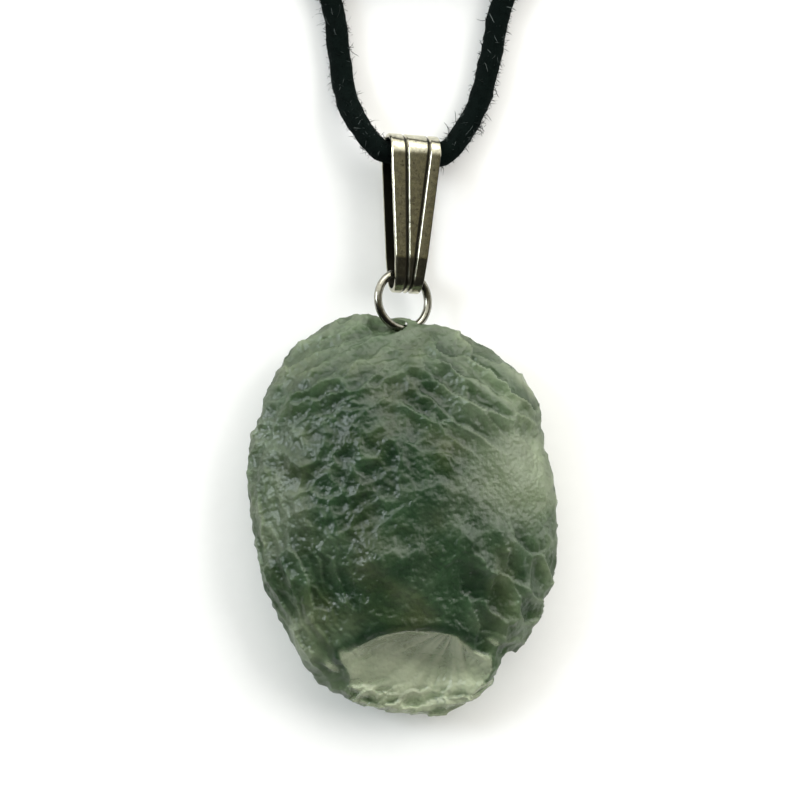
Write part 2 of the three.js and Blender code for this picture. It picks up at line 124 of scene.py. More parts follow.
class SilverSettings(bpy.types.PropertyGroup):
    """Sizes and colours of the ring and the bail.

    The wire and the bail's foot are a little narrower than the solids', 0.76 and 2.6 mm. That leaves the
    ring room to swing, and isn't the size that they look in life.
    """

    wire: length_setting("Wire", "Diameter of the ring's wire", 0.72 * MM)
    ring: length_setting("Ring radius", "Radius of the ring, to the middle of its wire", 2.5 * MM)
    sheet: length_setting("Sheet", "Thickness of the bail's sheet", 0.35 * MM)
    bail_length: length_setting("Bail length", "Length of the bail", 13.9 * MM)
    bail_top: length_setting("Bail top", "Width of the bail at its arch", 4.5 * MM)
    bail_foot: length_setting("Bail foot", "Width of the bail at its foot", 2.42 * MM)
    groove: length_setting("Groove", "Width of each groove in the bail, twice its depth", 0.4 * MM)
    colour: colour_setting("Silver", "Colour of the bail's silver", (0.72, 0.69, 0.54))
    # The ring's darker colour is painted shade, for the dark room that it would reflect
    ring_colour: colour_setting("Ring", "Colour of the ring's darker silver", (0.36, 0.35, 0.3))


class CordSettings(bpy.types.PropertyGroup):
    """Sizes and colours of the cord."""

    diameter: length_setting("Diameter", "Thickness of the cord", 2.0 * MM)
    fibres: bpy.props.IntProperty(
        name="Fibres", description="Loose fibres on each millimetre of the cord", default=42
    )
    fibre_length: length_setting("Fibre length", "Length that the loose fibres vary about", 0.9 * MM)
    tie_thread: length_setting("Tie thread", "Thickness of the thread round the coil", 0.4 * MM)
    colour: colour_setting("Cord", "Colour of the cord", (0.0015, 0.003, 0.0026))


class StageSettings(bpy.types.PropertyGroup):
    """Sizes and colours of the floor, the lights and the camera."""

    width: length_setting("Width", "Width that the camera takes in", 69.57 * MM)
    distance: length_setting("Distance", "From the camera to the object", 0.35)
    floor: colour_setting("Floor", "Colour of the floor", (0.9, 0.9, 0.9))


class Value:
    """A number that varies over a surface, written in sums such as 1 - mask."""

    def __init__(self, finish, socket):
        self.finish = finish
        self.socket = socket

    def _sum(self, operation, *values):
        return self.finish.node("ShaderNodeMath", {"operation": operation}, dict(enumerate(values)))

    def __add__(self, other):
        return self._sum("ADD", self, other)

    def __radd__(self, other):
        return self._sum("ADD", other, self)

    def __sub__(self, other):
        return self._sum("SUBTRACT", self, other)

    def __rsub__(self, other):
        return self._sum("SUBTRACT", other, self)

    def __mul__(self, other):
        return self._sum("MULTIPLY", self, other)

    def __rmul__(self, other):
        return self._sum("MULTIPLY", other, self)

    def clamped(self):
        return self._sum("MAXIMUM", self._sum("MINIMUM", self, 1.0), 0.0)


class Nodes:
    """A tree of shader nodes."""

    def __init__(self, tree):
        self.tree = tree

    def _add(self, kind):
        return self.tree.nodes.new(kind)

    def node(self, kind, settings=None, values=None, output=0):
        """One node: its settings first, then the values or links of its sockets."""
        made = self._add(kind)
        for name, setting in (settings or {}).items():
            if name == "stops":
                self._stops(made.color_ramp, setting)
            else:
                setattr(made, name, setting)
        for name, value in (values or {}).items():
            self.join(value, made.inputs[name])
        return Value(self, made.outputs[output])

    def _stops(self, ramp, stops):
        while len(ramp.elements) < len(stops):
            ramp.elements.new(0.5)
        for element, (place, colour) in zip(ramp.elements, stops):
            element.position = place
            element.color = rgba(colour)

    def join(self, value, socket):
        if isinstance(value, Value):
            self.tree.links.new(value.socket, socket)
        else:
            socket.default_value = value

    def millimetres(self):
        """The place on the object, in millimetres."""
        place = self.node("ShaderNodeTexCoord", output="Object")
        return self.node("ShaderNodeVectorMath", {"operation": "SCALE"}, {0: place, "Scale": 1000.0})

    def mask(self, name):
        """An attribute of the mesh, from 0 to 1."""
        return self.node("ShaderNodeAttribute", {"attribute_name": name}, output="Fac")

    def noise(self, vector, scale, detail):
        return self.node("ShaderNodeTexNoise", {}, {"Vector": vector, "Scale": scale, "Detail": detail})

    def mix(self, factor, first, second):
        values = {"Factor": factor, 6: first, 7: second}
        return self.node("ShaderNodeMix", {"data_type": "RGBA"}, values, output=2)

    def between(self, factor, low, high):
        return self.node("ShaderNodeMapRange", {}, {"Value": factor, "To Min": low, "To Max": high})

    def bump(self, height, distance, strength):
        values = {"Height": height, "Distance": distance, "Strength": strength}
        return self.node("ShaderNodeBump", {}, values)


class Finish(Nodes):
    """A material and the nodes that make it."""

    def __init__(self, name):
        self.material = bpy.data.materials.new(name)
        self.material.use_nodes = True
        super().__init__(self.material.node_tree)
        self.tree.nodes.clear()
        self.shader = self._add("ShaderNodeBsdfPrincipled")
        self.output = self._add("ShaderNodeOutputMaterial")
        self.tree.links.new(self.shader.outputs["BSDF"], self.output.inputs["Surface"])

    def set(self, **values):
        """Values or links of the shader's own sockets, their names written with _ for each space."""
        for name, value in values.items():
            self.join(value, self.shader.inputs[name.replace("_", " ")])


def rgba(colour):
    """A colour with its alpha, as a colour socket takes it."""
    return (*colour, 1.0)


def finished_object(name, mesh, finish, body):
    """A new piece from its mesh, smooth shaded and riding on its body."""
    mesh.materials.clear()
    mesh.materials.append(finish.material)
    mesh.polygons.foreach_set("use_smooth", [True] * len(mesh.polygons))
    piece = bpy.data.objects.new(name, mesh)
    bpy.context.scene.collection.objects.link(piece)
    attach(piece, body)
    return piece


def mesh_from(bm, name):
    """A new mesh from a bmesh, which is then let go."""
    mesh = bpy.data.meshes.new(name)
    bm.to_mesh(mesh)
    bm.free()
    return mesh


def with_modifiers(mesh, *modifiers):
    """The mesh after modifiers, each a type and its settings."""
    holder = bpy.data.objects.new("holder", mesh)
    bpy.context.scene.collection.objects.link(holder)
    for kind, settings in modifiers:
        modifier = holder.modifiers.new(kind.lower(), kind)
        for name, setting in settings.items():
            setattr(modifier, name, setting)
    bpy.context.view_layer.update()
    done = bpy.data.meshes.new_from_object(holder.evaluated_get(bpy.context.evaluated_depsgraph_get()))
    bpy.data.objects.remove(holder)
    return done


# Noise for the stone's mesh, in millimetres


def lattice_random(cells, salt):
    """A repeatable number from 0 to 1 for each cell of a lattice."""
    mixed = cells[:, 0] * 374761393 + cells[:, 1] * 668265263 + cells[:, 2] * 1440662683 + salt * 97463477
    mixed = ((mixed ^ (mixed >> 13)) * 1274126177) & 0x7FFFFFFF
    mixed = ((mixed ^ (mixed >> 16)) * 668265263) & 0x7FFFFFFF
    return (mixed ^ (mixed >> 15)) / 0x7FFFFFFF


def cells(points, salt):
    """Each point's nearest cell middle: how far it is, the way from it, and that cell's own number."""
    home = np.floor(points).astype(np.int64)
    nearest = np.full(len(points), np.inf)
    offset = np.zeros_like(points)
    number = np.zeros(len(points))
    for step in np.ndindex(3, 3, 3):
        cell = home + np.array(step) - 1
        middle = cell + np.stack([lattice_random(cell, salt + axis) for axis in range(3)], axis=1)
        way = points - middle
        far = np.linalg.norm(way, axis=1)
        closer = far < nearest
        nearest = np.where(closer, far, nearest)
        offset[closer] = way[closer]
        number[closer] = lattice_random(cell[closer], salt + 3)
    return nearest, offset, number


def bowl(near):
    """A round hollow about a cell's middle, 0 at its bottom and 1 outside it."""
    return np.minimum(1.3 * near**2, 1.0)


def smooth_noise(points, salt):
    """Soft noise from -1 to 1, a lump to each unit."""
    home = np.floor(points).astype(np.int64)
    part = points - home
    ease = part * part * (3 - 2 * part)
    total = np.zeros(len(points))
    for corner in np.ndindex(2, 2, 2):
        weight = np.prod(np.where(np.array(corner) == 1, ease, 1 - ease), axis=1)
        total += weight * (2 * lattice_random(home + np.array(corner), salt) - 1)
    return total


def turned(points, degrees, long, wide):
    """Points in the grain of a patch, as many cells along and across as its bowls' length and width give."""
    angle = math.radians(degrees)
    along = points[:, 0] * math.cos(angle) + points[:, 1] * math.sin(angle)
    across = points[:, 1] * math.cos(angle) - points[:, 0] * math.sin(angle)
    return np.stack([along / long, across / wide, points[:, 2] / wide], axis=1)


# Patches of the stone's front: middle and reach in millimetres, the grain's direction in degrees, the length
# and width of a bowl, its depth, and how far each scale is tipped so that it laps over the next
PATCHES = [
    {"x": -11.0, "y": -6.0, "reach": 7.0, "grain": -66, "long": 4.2, "wide": 1.2, "depth": 0.42, "lap": 0.3},
    {"x": 10.0, "y": -6.5, "reach": 5.0, "grain": -58, "long": 3.4, "wide": 1.9, "depth": 0.5, "lap": 0.45},
    {"x": 7.0, "y": 11.0, "reach": 6.0, "grain": -32, "long": 4.2, "wide": 1.6, "depth": 0.5, "lap": 0.55},
    {"x": 9.6, "y": 4.1, "reach": 4.6, "grain": 70, "long": 5.0, "wide": 3.4, "depth": 0.12, "lap": 0.06},
    {"x": -5.0, "y": 3.0, "reach": 6.5, "grain": 35, "long": 1.6, "wide": 1.45, "depth": 0.5, "lap": 0.0},
    {"x": -6.0, "y": 13.0, "reach": 5.5, "grain": 22, "long": 3.0, "wide": 1.2, "depth": 0.36, "lap": 0.3},
    {"x": 1.5, "y": -4.0, "reach": 5.5, "grain": 60, "long": 2.8, "wide": 2.2, "depth": 0.22, "lap": 0.1},
    {"x": 0.0, "y": -9.5, "reach": 4.5, "grain": 10, "long": 3.4, "wide": 2.4, "depth": 0.18, "lap": 0.1},
]
# The rest of the surface has one grain
PLAIN_GRAIN = {"grain": 40, "long": 1.9, "wide": 1.4, "depth": 0.42, "lap": 0.2}
# The break along the bottom edge, in millimetres: its hollow, how far up it reaches, the lower rim's height,
# curve and left end, the height above which its lip shows, and the place where it was struck
CHIP_CENTRE = np.array((2.3, -15.5, 10.1))
CHIP_SIZE = np.array((11.2, 6.3, 6.2))
BREAK_TOP = -8.0
RIM_HEIGHT, RIM_CURVE, RIM_LEFT = -15.3, 0.045, -4.8
LIP_FLOOR = 6.0
STRUCK = np.array((4.6, -9.2, 6.0))
# The height of the stone's thin edge, and how far above it the glass gets no painted light
EDGE_LEVEL, FRONT_RISE = 3.7, 5.0
# Where the glass is thinner and painted paler, as light coming through it, the first being the right facet's
# glow: middle and reach in millimetres, and how much painted light
GLOW_PLACES = [(9.8, 3.8, 4.2, 0.55), (-10.2, 0.4, 2.6, 0.3), (7.8, 10.5, 4.2, 0.25), (-8.5, -11.5, 3.5, 0.2)]


def apart(points, x, y, reach):
    """The square of how far each point is from a place on the front, as a share of its reach."""
    return ((points[:, 0] - x) ** 2 + (points[:, 1] - y) ** 2) / reach**2


def flatness(normals, least):
    """1 where the surface faces up or down, falling to the least where it faces sideways."""
    return least + (1 - least) * np.abs(normals[:, 2]) ** 0.8


def patch_relief(patch, points, salt):
    """Bowls that meet in ridges, each tipped a little, in a patch's own grain and size."""
    grain = turned(points, patch["grain"], patch["long"], patch["wide"])
    near, way, number = cells(grain, salt)
    lap = way[:, 1] * (0.6 + 0.8 * number)
    return patch["depth"] * (bowl(near) - 0.45) + patch["lap"] * lap


def etched_relief(points, normals):
    """How far the etched surface stands out at each point, in millimetres."""
    warp = 0.35 * np.stack([smooth_noise(points / 1.3, 40 + axis) for axis in range(3)], axis=1)
    bent = points + warp
    weights = [0.06 * np.ones(len(points))]
    reliefs = [patch_relief(PLAIN_GRAIN, bent, 90)]
    front = 1 / (1 + np.exp(-4 * (normals[:, 2] + 0.1)))
    for number, patch in enumerate(PATCHES):
        weights.append(front * np.exp(-2.2 * apart(points, patch["x"], patch["y"], patch["reach"])))
        reliefs.append(patch_relief(patch, bent, 10 * number))
    etched = sum(w * r for w, r in zip(weights, reliefs)) / sum(weights)
    fine = 0.1 * (bowl(cells(bent / 0.7, 70)[0]) - 0.45)
    smooth_facet = 1 - 0.8 * front * np.exp(-(apart(points, *GLOW_PLACES[0][:3]) ** 2))
    crinkle = (1 - np.abs(normals[:, 2])) ** 2 * 0.2 * smooth_noise(points / 0.6, 84)
    grain = fine + 0.02 * smooth_noise(points / 0.4, 80)
    return crinkle + flatness(normals, 0.3) * (etched + smooth_facet * grain)


def broken_face(points, normals):
    """1 on the hollow face of the break along the bottom edge, and 1 on the lip just above it, which gets a
    painted shadow.
    """
    way = (points - CHIP_CENTRE) / CHIP_SIZE
    inward = -way / CHIP_SIZE
    inward /= np.linalg.norm(inward, axis=1)[:, None]
    facing = np.sum(inward * normals, axis=1)
    out = np.linalg.norm(way, axis=1)
    in_reach = points[:, 1] < BREAK_TOP
    inside = np.clip((1.2 - out) / 0.06, 0, 1) * in_reach
    rim = RIM_HEIGHT + RIM_CURVE * (points[:, 0] - CHIP_CENTRE[0]) ** 2
    below = np.clip((rim - points[:, 1]) / 0.3, 0, 1) * np.clip((points[:, 0] - RIM_LEFT) / 0.6, 0, 1)
    broken = inside * np.maximum(np.clip((facing - 0.74) / 0.1, 0, 1), below)
    # The band just above the break: raised a little, and darkened in colour as a painted shadow
    lip_painted_shadow = 0.8 * np.exp(-(((out - 1.08) / 0.05) ** 2)) * (points[:, 2] > LIP_FLOOR) * in_reach
    return broken, lip_painted_shadow * (1 - broken)


def ripples(points):
    """The break's faint rings and fine lines from where it was struck, and the steps at its lower edge."""
    way_out = points - STRUCK
    far = np.linalg.norm(way_out, axis=1)
    rings = 0.03 * np.sin(2.2 * far + 1.6 * smooth_noise(points / 2.4, 61))
    round_it = np.arctan2(way_out[:, 0], -way_out[:, 1])
    rings += 0.09 * smooth_noise(np.stack([7 * round_it, 0.3 * far, 0 * far], axis=1), 63)
    rings += 0.06 * smooth_noise(np.stack([19 * round_it, 0.5 * far, 0 * far], axis=1), 64)
    near, way, number = cells(turned(points, 15, 1.7, 1.0), 62)
    steps = 0.75 * way[:, 1] * (0.3 + number) + 0.35 * (bowl(near) - 0.4)
    low = np.clip((-14.6 - points[:, 1] + 0.02 * (points[:, 0] - 2.0) ** 2) / 0.9, 0, 1)
    return rings + low * steps


def painted_glass_light(points, broken):
    """Painted light coming through the glass, from 0 to 1: paler where it is thin, near its rim, and on the
    break.
    """
    level = points[:, 2] - EDGE_LEVEL
    from_rim = np.abs(level) / np.where(level > 0, FRONT_RISE, EDGE_LEVEL)
    pale = 0.34 * np.clip(1 - from_rim, 0, 1) ** 1.5
    for x, y, reach, strength in GLOW_PLACES:
        pale += strength * np.exp(-(apart(points, x, y, reach) ** 1.5))
    return np.clip(np.maximum(pale, broken) + 0.12 * smooth_noise(points / 2.2, 17), 0, 1)


def smooth_stone(mesh_size):
    """The stone's solid as one even, fine mesh, with its facets smoothed away."""
    source = bmesh.new()
    source.from_mesh(frame["nodes"]["stone"].data)
    bmesh.ops.remove_doubles(source, verts=source.verts, dist=1e-7)
    remesh = {"mode": "VOXEL", "voxel_size": mesh_size, "adaptivity": 0.0}
    even = with_modifiers(mesh_from(source, "stone_block"), ("REMESH", remesh))
    soft = bmesh.new()
    soft.from_mesh(even)
    for _ in range(3):
        bmesh.ops.smooth_vert(
            soft, verts=soft.verts, factor=0.5, use_axis_x=True, use_axis_y=True, use_axis_z=True
        )
    soft.normal_update()
    return soft


def make_stone(settings):
    """The moldavite, with its etched relief, its break, and the masks of painted light and shade that its
    glass is coloured by.
    """
    soft = smooth_stone(settings.facet)
    points = np.array([v.co for v in soft.verts]) / MM
    normals = np.array([v.normal for v in soft.verts])
    broken, lip_painted_shadow = broken_face(points, normals)
    flat = flatness(normals, 0.25)
    etched = (1 - broken) * etched_relief(points, normals)
    raised = settings.relief * (0.12 * lip_painted_shadow + etched + broken * flat * ripples(points))
    from_hole = np.linalg.norm(points - np.array(HOLE) / MM, axis=1)
    raised *= np.clip((from_hole - 0.8) / 1.6, 0.15, 1)
    raised *= np.clip(points[:, 2] / 0.25, 0, 1)
    moved = points + normals * raised[:, None]
    moved[:, 2] = np.maximum(moved[:, 2], 0.0)
    for vert, place in zip(soft.verts, moved * MM):
        vert.co = place
    mesh = mesh_from(soft, "moldavite_stone")
    # Painted highlight and shade: the raised mask makes ridges and the break paler and the hollows darker in
    # the glass's colour
    painted_relief_shading = 0.5 + 0.35 * broken + raised / (settings.relief * (0.55 - 0.15 * broken) * flat)
    # Painted shade: where the surface faces sideways, at the stone's outline, its colour is darkened to a
    # dark rim
    painted_outline_shade = 0.6 * (1 - broken) * np.clip((0.35 - np.abs(normals[:, 2])) / 0.2, 0, 1)
    masks = {
        "break": broken,
        # Painted shadow: the lip above the break is darkened in the raised and pale masks
        "raised": np.clip(painted_relief_shading, 0, 1) * (1 - lip_painted_shadow) * (1 - painted_outline_shade),
        # Painted light: the pale mask makes thin glass, the rim, the break and the right facet paler, for
        # light coming through
        "pale": painted_glass_light(points, broken) * (1 - 0.9 * lip_painted_shadow) * (1 - painted_outline_shade),
    }
    for name, values in masks.items():
        mask = mesh.attributes.new(name, "FLOAT", "POINT")
        mask.data.foreach_set("value", values.astype(np.float32))
    stone = finished_object("moldavite_stone", mesh, moldavite_finish(settings), "stone")
    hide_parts("stone")


def moldavite_finish(settings):
    """Rough natural glass: green through its thickness, with a frosted, finely pitted skin, and painted
    highlight, shade and light through thin glass in its colour.
    """
    finish = Finish("moldavite")
    place = finish.millimetres()
    broken, raised, pale = (finish.mask(name) for name in ("break", "raised", "pale"))
    pits = finish.node("ShaderNodeTexVoronoi", {"feature": "SMOOTH_F1"}, {"Vector": place, "Scale": 2.6})
    grain = finish.noise(place, 5.0, 4.0)
    patches = finish.noise(place, 0.35, 2.0)
    height = pits * 0.7 + grain * 0.3
    rough = finish.between(patches * 0.6 + grain * 0.4, 0.2, 0.46)
    warm = finish.between(finish.noise(place, 0.2, 2.0), -1.9, 2.1).clamped()
    # Painted highlight and shade: each colour runs from dark in the hollows to pale on the ridges, by the
    # raised mask
    deep = finish.mix(raised, rgba((0.01, 0.046, 0.014)), rgba((0.085, 0.185, 0.08)))
    olive = finish.mix(raised, rgba((0.03, 0.06, 0.015)), rgba((0.15, 0.205, 0.07)))
    # The pale end of the colours is painted light coming through thin glass, chosen by the pale mask
    light = finish.mix(raised, rgba((0.18, 0.26, 0.13)), rgba((0.93, 1.0, 0.72)))
    finish.set(
        Base_Color=finish.mix(pale, finish.mix(warm, deep, olive), light),
        Roughness=rough * (1 - broken * 0.35),
        Transmission_Weight=0.7,
        IOR=1.49,
        Specular_IOR_Level=0.35,
        Normal=finish.bump(height, 0.00016, 0.8),
    )
    volume = finish.node(
        "ShaderNodeVolumeAbsorption", {}, {"Color": rgba(settings.glass), "Density": settings.depth_of_colour}
    )
    finish.tree.links.new(volume.socket, finish.output.inputs["Volume"])
    return finish


class PENDANT_OT_stone(bpy.types.Operator):
    """Make the moldavite, with its etched skin and its chipped lower edge"""

    bl_idname = "pendant.stone"
    bl_label = "Moldavite"

    def execute(self, context):
        make_stone(context.scene.pendant_stone)
        return {"FINISHED"}


def silver_finish(name, colour):
    """Polished silver that has yellowed a little, with fine scratches, and painted black shade inside the
    loop and on the grooves' left walls.
    """
    finish = Finish(name)
    place = finish.millimetres()
    unpolished = finish.mask("unpolished")
    long = finish.node("ShaderNodeMapping", {}, {"Vector": place, "Scale": (9.0, 1.2, 9.0)})
    scratches = finish.noise(long, 1.6, 5.0)
    clouds = finish.noise(place, 2.2, 6.0)
    specks = finish.node("ShaderNodeTexVoronoi", {"feature": "F1"}, {"Vector": place, "Scale": 2.2})
    worn = finish.between(specks, 1.0, -3.0).clamped() * finish.between(clouds, -1.0, 2.4).clamped()
    dark = tuple(0.38 * part for part in colour)
    metal = finish.mix(finish.between(clouds, -0.7, 1.3).clamped(), rgba(colour), rgba(dark))
    metal = finish.mix(worn, metal, rgba((0.12, 0.1, 0.06)))
    finish.set(
        # Painted shade: the marked faces inside the loop and on the grooves' left walls are painted near
        # black
        Base_Color=finish.mix(unpolished, metal, rgba((0.045, 0.043, 0.032))),
        Metallic=1.0,
        Roughness=finish.between(clouds * 0.6 + scratches * 0.4, 0.08, 0.3) + unpolished * 0.2,
        Normal=finish.bump(scratches * 0.5 + clouds * 0.5, 0.00002, 0.4),
    )
    return finish


def make_ring(settings, finish):
    """The ring: a round wire spun about its middle, then stood between the stone and the bail."""
    bm = bmesh.new()
    wire = bmesh.ops.create_circle(bm, segments=20, radius=settings.wire / 2)["verts"]
    bmesh.ops.rotate(bm, verts=wire, cent=(0, 0, 0), matrix=Matrix.Rotation(math.pi / 2, 3, "X"))
    bmesh.ops.translate(bm, verts=wire, vec=(settings.ring, 0, 0))
    turn = {"cent": (0, 0, 0), "axis": (0, 0, 1), "angle": 2 * math.pi, "steps": 84}
    bmesh.ops.spin(bm, geom=bm.verts[:] + bm.edges[:], use_merge=True, **turn)
    bmesh.ops.remove_doubles(bm, verts=bm.verts, dist=1e-7)
    bmesh.ops.recalc_face_normals(bm, faces=bm.faces)
    centre = ring_centre()
    up = (centre - HOLE).normalized()
    basis = Matrix((RING_ALONG, up, RING_ALONG.cross(up))).transposed().to_4x4()
    bmesh.ops.transform(bm, matrix=Matrix.Translation(centre) @ basis, verts=bm.verts)
    ring = finished_object("wire_ring", mesh_from(bm, "wire_ring"), finish, "ring")
    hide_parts("jump_ring")


def ring_centre():
    """The middle of the ring's solid."""
    low, high = (Vector(corner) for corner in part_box("jump_ring"))
    return (low + high) / 2


# The bail's side view and its place: half the gap between its legs at the foot, at the crease and under the
# arch, the crease's height, the wire's height above the foot, and how the bail is turned, leant and sloped
BAIL_GAPS = (1.1 * MM, 1.35 * MM, 1.4 * MM)
BAIL_CREASE = 3.05 * MM
WIRE_HEIGHT = 1.85 * MM
BAIL_TURN, BAIL_LEAN, BAIL_SLOPE = (math.radians(angle) for angle in (16, 2.5, 3.35))
# Its front: the share of its length where it is widest, each groove's place at the foot and at the top as a
# share of half the width, and the width of the bevel on each edge
BAIL_SHOULDER = 0.87
GROOVES = ((-0.2, -0.4), (0.18, 0.56))
LEFT_EDGE, RIGHT_EDGE = 0.13 * MM, 0.08 * MM


def bend_middles(settings):
    """The heights of the middles of the foot's bend and of the arch's, above the bottom of the foot."""
    return BAIL_GAPS[0] + settings.sheet, settings.bail_length - BAIL_GAPS[2] - settings.sheet


def bail_band(settings, columns):
    """A closed loop of sheet with a round foot and a round arch, a unit wide from each column to the next."""
    foot, arch = bend_middles(settings)
    bm = bmesh.new()
    ends = [bm.verts.new((BAIL_GAPS[0] + thick, foot, 0)) for thick in (0, settings.sheet)]
    first = [*ends, bm.edges.new(ends)]

    def bend(geom, middle, steps):
        turn = {"cent": (0, middle, 0), "axis": (0, 0, 1), "angle": -math.pi, "steps": steps}
        return bmesh.ops.spin(bm, geom=geom, **turn)["geom_last"]

    def leg(geom, painted_relief_shading):
        side = 1 if geom[0].co.x > 0 else -1
        for height in painted_relief_shading:
            edges = [e for e in geom if isinstance(e, bmesh.types.BMEdge)]
            made = bmesh.ops.extrude_edge_only(bm, edges=edges)["geom"]
            verts = sorted((v for v in made if isinstance(v, bmesh.types.BMVert)), key=lambda v: abs(v.co.x))
            gap = np.interp(height, (foot, BAIL_CREASE, arch), BAIL_GAPS)
            for vert, thick in zip(verts, (0, settings.sheet)):
                vert.co = (side * (gap + thick), height, 0)
            geom = [*verts, *(e for e in made if isinstance(e, bmesh.types.BMEdge))]
        return geom

    near = 0.15 * MM
    painted_relief_shading = [foot + near, BAIL_CREASE - near, BAIL_CREASE, BAIL_CREASE + near, arch - near, arch]
    back = leg(bend(first, foot, 14), painted_relief_shading)
    leg(bend(back, arch, 20), [*painted_relief_shading[-2::-1], foot])
    bmesh.ops.remove_doubles(bm, verts=bm.verts, dist=1e-7)
    layer = bm.faces[:]
    for number in range(1, columns):
        made = bmesh.ops.extrude_face_region(bm, geom=layer, use_keep_orig=number == 1)["geom"]
        layer = [f for f in made if isinstance(f, bmesh.types.BMFace)]
        for vert in {v for f in layer for v in f.verts}:
            vert.co.z = number
    levels = {face: {round(v.co.z) for v in face.verts} for face in bm.faces}
    hidden = [face for face, level in levels.items() if len(level) == 1 and not level & {0, columns - 1}]
    bmesh.ops.delete(bm, geom=hidden, context="FACES")
    bmesh.ops.recalc_face_normals(bm, faces=bm.faces)
    return bm


def bail_columns(settings, rise):
    """Where each column of the bail's mesh lies across it, at a share of its length from the foot."""
    wider = (settings.bail_top - settings.bail_foot) * min(rise / BAIL_SHOULDER, 1)
    half = (settings.bail_foot + wider) / 2
    middles = [half * (low + (high - low) * rise) for low, high in GROOVES]
    grooves = [middle + settings.groove / 2 * part for middle in middles for part in (-1, 0.4, 1)]
    return [-half, LEFT_EDGE - half, *grooves, half - RIGHT_EDGE, half]


def mark_painted_shade(bm, settings):
    """Mark the faces that get painted shade: the inside of the loop, and the left wall of each groove, which
    faces right.
    """
    foot, arch = bend_middles(settings)
    unpolished = bm.faces.layers.float.new("unpolished")
    for face in bm.faces:
        middle, turn = face.calc_center_median(), face.normal
        inward = Vector((0, min(max(middle.y + WIRE_HEIGHT, foot), arch) - WIRE_HEIGHT - middle.y, -middle.z))
        near = inward.length < BAIL_GAPS[2] + settings.sheet / 2
        inside = inward.dot(turn) > 0 and near and abs(turn.x) < 0.9
        on_front = abs(middle.x) < 0.85 * settings.bail_top / 2 and inward.dot(turn) < 0
        face[unpolished] = float(inside or (turn.x > 0.4 and on_front))


def bail_directions():
    """The bail's own directions: across it, along it and out of its front."""
    along = Vector((math.sin(BAIL_LEAN), math.cos(BAIL_LEAN), -math.sin(BAIL_SLOPE))).normalized()
    across = Vector((math.cos(BAIL_TURN), 0, -math.sin(BAIL_TURN)))
    across = (across - along * across.dot(along)).normalized()
    return Matrix((across, along, across.cross(along))).transposed().to_4x4()


def make_bail(settings, finish):
    """The bail: its band drawn in towards the foot, its grooves and edges sunk, and its corners rounded."""
    depth_of_groove = settings.groove / 2
    sunk = [LEFT_EDGE, 0, 0, depth_of_groove, 0, 0, depth_of_groove, 0, 0, RIGHT_EDGE]
    bm = bail_band(settings, len(sunk))
    foot, arch = bend_middles(settings)
    for vert in bm.verts:
        depth, height = vert.co.x, vert.co.y
        places = bail_columns(settings, min(max(height / settings.bail_length, 0), 1))
        column = round(vert.co.z)
        way = Vector((0, min(max(height, foot), arch), 0)) - Vector((depth, height, 0))
        gap = np.interp(min(max(height, foot), arch), (foot, BAIL_CREASE, arch), BAIL_GAPS)
        if way.length > gap + settings.sheet / 2:
            moved = Vector((depth, height, 0)) + way.normalized() * sunk[column]
            depth, height = moved.x, moved.y
        vert.co = (places[column], height - WIRE_HEIGHT, depth)
    bmesh.ops.recalc_face_normals(bm, faces=bm.faces)
    if bm.calc_volume(signed=True) < 0:
        bmesh.ops.reverse_faces(bm, faces=bm.faces)
    bm.normal_update()
    mark_painted_shade(bm, settings)
    bmesh.ops.transform(bm, matrix=Matrix.Translation(BAIL_SEAT) @ bail_directions(), verts=bm.verts)
    rounded = {"width": 0.035 * MM, "segments": 2, "limit_method": "ANGLE", "angle_limit": math.radians(28)}
    mesh = with_modifiers(mesh_from(bm, "fluted_bail"), ("BEVEL", rounded))
    bail = finished_object("fluted_bail", mesh, finish, "bail")
    mesh.set_sharp_from_angle(angle=math.radians(24))
    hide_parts("bail")


class PENDANT_OT_silver(bpy.types.Operator):
    """Make the wire ring and the fluted bail"""

    bl_idname = "pendant.silver"
    bl_label = "Ring and bail"

    def execute(self, context):
        settings = context.scene.pendant_silver
        make_bail(settings, silver_finish("silver", settings.colour))
        # The ring's finish is the silver painted darker as shade
        make_ring(settings, silver_finish("shade_painted_silver", settings.ring_colour))
        return {"FINISHED"}


def smooth_path(points, spacing):
    """Points at an even spacing along a smooth curve through points."""
    ends = [2 * points[0] - points[1], *points, 2 * points[-1] - points[-2]]
    dense = []
    for before, start, end, after in zip(ends, ends[1:], ends[2:], ends[3:]):
        steps = max(2, round((end - start).length / (0.25 * spacing)))
        for n in range(steps):
            t = n / steps
            dense.append(
                0.5
                * (
                    2 * start
                    + (end - before) * t
                    + (2 * before - 5 * start + 4 * end - after) * t**2
                    + (3 * start - before - 3 * end + after) * t**3
                )
            )
    dense.append(points[-1])
    return evenly_spaced(dense, spacing)


def evenly_spaced(points, spacing):
    """Points at an even spacing along the straight lines between points."""
    lengths = np.concatenate([[0], np.cumsum([(b - a).length for a, b in zip(points, points[1:])])])
    count = max(2, round(lengths[-1] / spacing))
    places = np.array(points)
    wanted = np.linspace(0, lengths[-1], count + 1)
    return [Vector(p) for p in np.stack([np.interp(wanted, lengths, places[:, k]) for k in range(3)], axis=1)]


def coil_layer(side, height):
    """One layer of the coil from its innermost turn outwards, wound away from its own side."""
    total = 2 * math.pi * COIL_TURNS + COIL_JOIN
    count = round(36 * total / (2 * math.pi))
    points = []
    for n in range(count + 1):
        turned_by = total * n / count
        radius = COIL_INNER + (COIL_OUTER - COIL_INNER) * n / count
        angle = math.pi + turned_by
        across, up = -side * radius * math.cos(angle), radius * math.sin(angle)
        points.append(COIL_CENTRE + Vector((across, up, height)))
    return points


